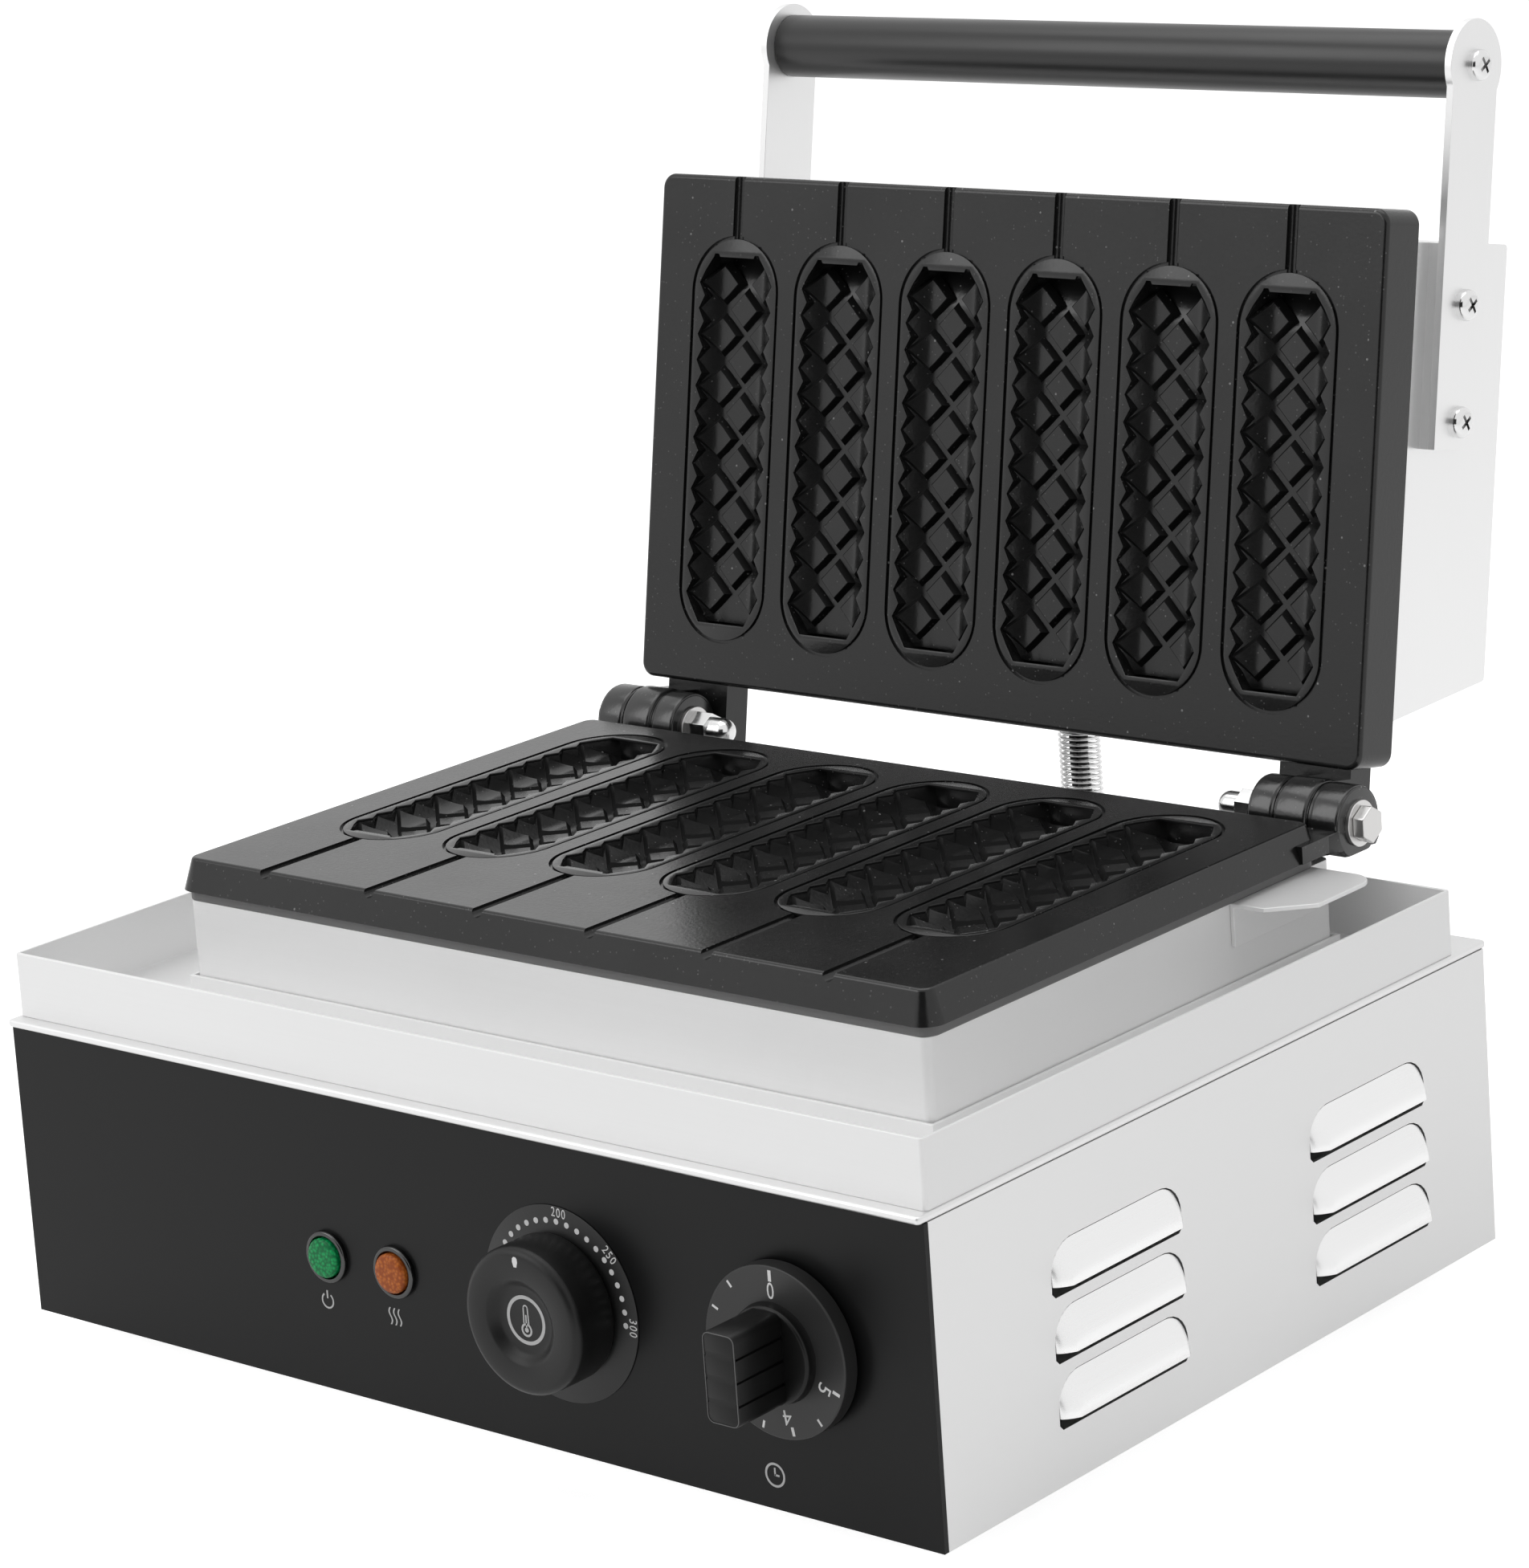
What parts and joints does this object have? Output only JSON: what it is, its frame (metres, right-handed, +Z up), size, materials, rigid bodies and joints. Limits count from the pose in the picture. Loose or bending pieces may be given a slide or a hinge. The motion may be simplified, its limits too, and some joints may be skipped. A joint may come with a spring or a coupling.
{
  "type": "corn dog maker",
  "caption": "Countertop corn dog maker with a hinged waffle-mould lid, a drip tray, a control panel with a thermostat, a timer and lamps, and a bar handle.",
  "frame": {"origin": "on the plane on which the feet stand, under the middle of the whole cooker with its lid open", "axes": "+Z up, -Y out of the control panel, +X to the right of someone facing the panel"},
  "size_m": [0.3784, 0.4184, 0.385],
  "materials": {
    "stainless": "satin brushed",
    "bright_steel": "bright",
    "zinc_steel": "plain",
    "cast_coating": "non-stick coated",
    "black_paint": "satin",
    "grey_seal": "satin",
    "black_rubber": "matt",
    "black_gloss": "gloss",
    "black_plastic": "satin",
    "grip_black": "gloss",
    "green_lens": "translucent",
    "amber_lens": "translucent",
    "dial_print": "printed",
    "element": "oxidised",
    "wool": "mineral wool",
    "ceramic_white": "glazed",
    "copper": "plain",
    "wire_cover": "matt"
  },
  "bodies": {
    "base": {"right_side_panel": "stainless", "left_side_panel": "stainless", "rear_panel": "stainless", "bottom_plate": "stainless", "front_panel": "black_paint", "top_cover": "stainless", "feet": "black_rubber", "foot_screws": "zinc_steel", "drip_tray": "stainless", "pedestal": "stainless", "side_tabs": "stainless", "plate_gasket": "grey_seal", "lower_plate": "cast_coating", "lower_heater": "element", "lower_heater_clamp": "zinc_steel", "lower_clamp_bolts": "zinc_steel", "lower_insulation": "wool", "heat_shield": "bright_steel", "dial_ring": "dial_print", "thermostat_body": "ceramic_white", "thermostat_bulb": "copper", "timer_body": "zinc_steel", "timer_bell": "bright_steel", "lamp_bezels": "bright_steel", "power_lamp_lens": "green_lens", "heat_lamp_lens": "amber_lens", "lamp_holders": "black_plastic", "terminal_block": "ceramic_white", "cord_gland": "black_plastic", "gland_nut": "black_plastic", "hinge_bolts": "bright_steel", "hinge_washers": "bright_steel", "hinge_nuts": "bright_steel", "conduit_elbow": "zinc_steel", "spring_conduit": "bright_steel", "lid_wires": "wire_cover"},
    "lid": {"upper_plate": "cast_coating", "lid_housing": "stainless", "upper_heater": "element", "upper_heater_clamp": "zinc_steel", "upper_clamp_bolts": "zinc_steel", "lid_insulation": "wool", "right_handle_bar": "stainless", "left_handle_bar": "stainless", "right_bar_spacer": "stainless", "left_bar_spacer": "stainless", "handle_grip": "grip_black", "handle_rod": "zinc_steel", "grip_screws": "bright_steel", "bar_screws": "bright_steel", "conduit_ferrule": "zinc_steel"},
    "thermostat_dial": {"thermostat_knob": "black_gloss", "thermostat_shaft": "zinc_steel"},
    "timer_dial": {"timer_knob": "black_gloss", "timer_shaft": "zinc_steel"}
  },
  "joints": [
    {"name": "lid_hinge", "type": "hinge", "parent": "base", "child": "lid", "pos_m": [0, 0.08282, 0.146], "axis": [1, 0, 0], "range_deg": [0, 100.1], "deforming": ["spring_conduit", "lid_wires"]},
    {"name": "thermostat_turn", "type": "hinge", "parent": "base", "child": "thermostat_dial", "pos_m": [0.047, -0.18768, 0.0545], "axis": [0, 1, 0], "range_deg": [-155, 105]},
    {"name": "timer_turn", "type": "hinge", "parent": "base", "child": "timer_dial", "pos_m": [0.134, -0.18768, 0.059], "axis": [0, 1, 0], "range_deg": [0, 260], "stiffness_Nm_per_rad": 0.01}
  ]
}
